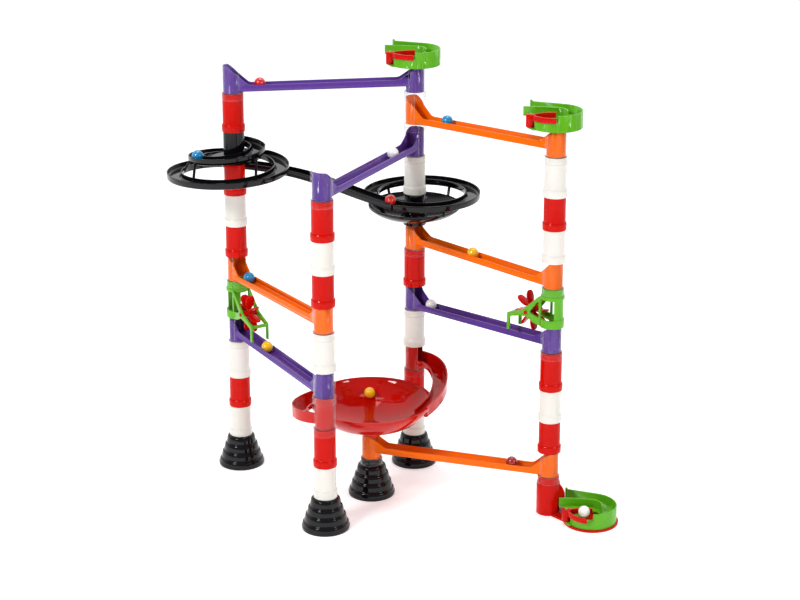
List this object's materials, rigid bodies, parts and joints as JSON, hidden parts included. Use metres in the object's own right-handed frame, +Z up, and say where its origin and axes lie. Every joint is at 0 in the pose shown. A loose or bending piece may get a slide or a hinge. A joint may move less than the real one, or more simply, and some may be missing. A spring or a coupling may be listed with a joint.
{
  "type": "marble run",
  "caption": "Toy marble run: stacked tube towers joined by sloping channels, with a spiral, a ringed dish, a funnel bowl, paddle wheels and gated U-turn trays.",
  "frame": {"origin": "centre of the overall box at floor level", "axes": "+X to the right and +Y to the back as the run is seen from the front, +Z up"},
  "size_m": [0.5498, 0.3042, 0.5415],
  "materials": {
    "red_plastic": "glossy moulded",
    "white_plastic": "glossy, slightly milky",
    "black_plastic": "high gloss",
    "purple_plastic": "glossy moulded",
    "orange_plastic": "glossy moulded",
    "green_plastic": "glossy moulded",
    "clear_plastic": "clear moulded plastic",
    "red_marble": "polished",
    "blue_marble": "polished",
    "yellow_marble": "polished"
  },
  "bodies": {
    "run": {"axle_a5": "red_plastic", "axle_d6": "red_plastic", "base_d": "red_plastic", "bracket_a5": "green_plastic", "bracket_d6": "green_plastic", "catch_tray": "green_plastic", "dish_track": "black_plastic", "foot_a": "black_plastic", "foot_b": "black_plastic", "foot_c": "black_plastic", "foot_e": "black_plastic", "funnel": "red_plastic", "link_track": "black_plastic", "ramp_a4_b4": "purple_plastic", "ramp_b6_a6": "orange_plastic", "ramp_c10_b10": "purple_plastic", "ramp_c12_a12": "purple_plastic", "ramp_c7_d7": "orange_plastic", "ramp_d11_c11": "orange_plastic", "ramp_d5_c5": "purple_plastic", "ramp_e1_d1": "orange_plastic", "sleeve_a12": "clear_plastic", "sleeve_a4": "clear_plastic", "sleeve_a6": "clear_plastic", "sleeve_b10": "clear_plastic", "sleeve_b6": "clear_plastic", "sleeve_c3": "clear_plastic", "sleeve_c5": "clear_plastic", "sleeve_c7": "clear_plastic", "sleeve_d1": "clear_plastic", "sleeve_d11": "clear_plastic", "sleeve_d5": "clear_plastic", "sleeve_d7": "clear_plastic", "sleeve_e1": "clear_plastic", "sleeves_b3_to_b4": "clear_plastic", "sleeves_c10_to_c12": "clear_plastic", "spiral_track": "black_plastic", "start_tray_c": "green_plastic", "start_tray_d": "green_plastic", "tube_a11": "red_plastic", "tube_b5": "white_plastic", "tube_c4": "white_plastic", "tube_c6": "red_plastic", "tube_c9": "white_plastic", "tubes_a1_to_a3": "white_plastic", "tubes_a7_to_a9": "red_plastic", "tubes_b1_to_b2": "white_plastic", "tubes_b7_to_b9": "red_plastic", "tubes_c1_to_c2": "white_plastic", "tubes_d2_to_d4": "red_plastic", "tubes_d8_to_d10": "white_plastic"},
    "catch_latch": {"catch_latch": "red_plastic"},
    "marble_c12": {"marble_c12": "red_marble"},
    "marble_c7": {"marble_c7": "yellow_marble"},
    "marble_d11": {"marble_d11": "blue_marble"},
    "marble_funnel": {"marble_funnel": "yellow_marble"},
    "start_latch_c": {"start_latch_c": "red_plastic"},
    "start_latch_d": {"start_latch_d": "red_plastic"},
    "wheel_a5": {"wheel_a5": "red_plastic"},
    "wheel_d6": {"wheel_d6": "red_plastic"}
  },
  "joints": [
    {"name": "start_latch_c_hinge", "type": "hinge", "parent": "run", "child": "start_latch_c", "pos_m": [0.00071, 0.07442, 0.533], "axis": [0, 0, 1], "range_deg": [-40, 8]},
    {"name": "start_latch_d_hinge", "type": "hinge", "parent": "run", "child": "start_latch_d", "pos_m": [0.16234, -0.07777, 0.493], "axis": [0, 0, 1], "range_deg": [-40, 8]},
    {"name": "catch_latch_hinge", "type": "hinge", "parent": "run", "child": "catch_latch", "pos_m": [0.21194, -0.11697, 0.0157], "axis": [0, 0, 1], "range_deg": [-4, 20]},
    {"name": "wheel_d6_spin", "type": "hinge", "parent": "run", "child": "wheel_d6", "pos_m": [0.16977, -0.05972, 0.2525], "axis": [-0.6855, -0.728, 0], "continuous": true},
    {"name": "wheel_a5_spin", "type": "hinge", "parent": "run", "child": "wheel_a5", "pos_m": [-0.17518, 0.04005, 0.2125], "axis": [0.8554, 0.518, 0], "continuous": true},
    {"name": "marble_c12_roll", "type": "slide", "parent": "run", "child": "marble_c12", "axis": [-0.9994, -0.0209, -0.0293], "range_m": [-0.1709, 0.0178]},
    {"name": "marble_d11_roll", "type": "slide", "parent": "run", "child": "marble_d11", "axis": [-0.7277, 0.6852, -0.0293], "range_m": [-0.151, 0.0377]},
    {"name": "marble_c7_roll", "type": "slide", "parent": "run", "child": "marble_c7", "axis": [0.7277, -0.6852, -0.0293], "range_m": [-0.0788, 0.1099]},
    {"name": "marble_funnel_roll", "type": "hinge", "parent": "run", "child": "marble_funnel", "pos_m": [-0.02276, -0.02605, 0.1], "axis": [0, 0, 1], "range_deg": [-50, 40]}
  ]
}
